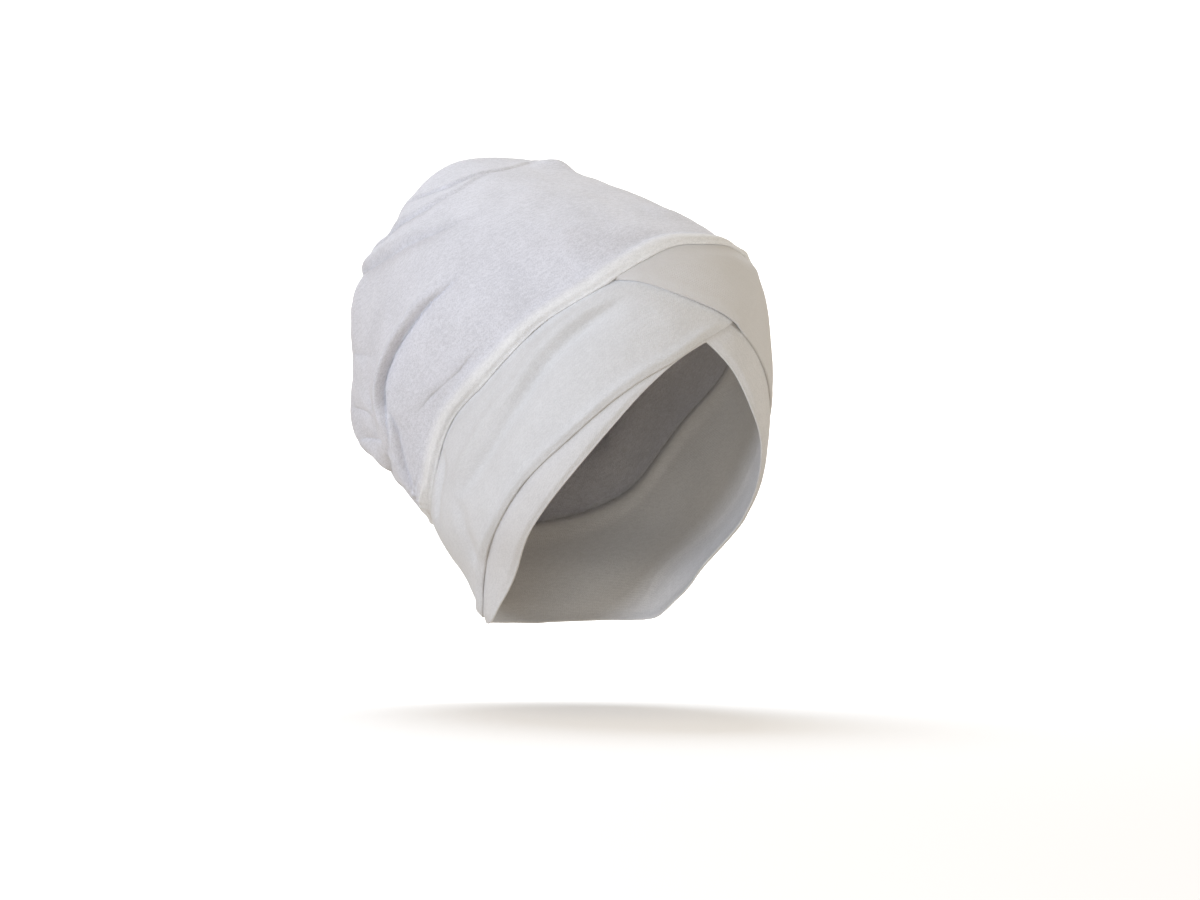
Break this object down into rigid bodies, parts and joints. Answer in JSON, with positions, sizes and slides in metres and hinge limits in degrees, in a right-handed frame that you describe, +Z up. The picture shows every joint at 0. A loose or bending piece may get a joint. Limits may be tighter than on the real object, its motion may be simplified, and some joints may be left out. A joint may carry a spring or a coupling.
{
  "type": "hijab undercap",
  "caption": "Soft jersey hijab undercap in its worn form: a deep crown that bags at the back, wide bands crossing on the forehead and an inner band, open at the face and neck.",
  "frame": {"origin": "on the inside of the crown, where the top of the head bears on it", "axes": "+Z up as worn, -Y out of the face opening, +X to the wearer's left, +Y to the back where the crown bags"},
  "size_m": [0.1833, 0.2738, 0.2558],
  "materials": {
    "crown_jersey": "matte, brushed cotton jersey, cool white",
    "right_band_jersey": "matte, brushed cotton jersey, warm white",
    "left_band_jersey": "matte, brushed cotton jersey, warm white",
    "under_band_jersey": "matte, cotton jersey, warm white"
  },
  "bodies": {
    "root": {"crown": "crown_jersey", "right_band": "right_band_jersey", "left_band": "left_band_jersey", "under_band": "under_band_jersey"}
  },
  "joints": []
}
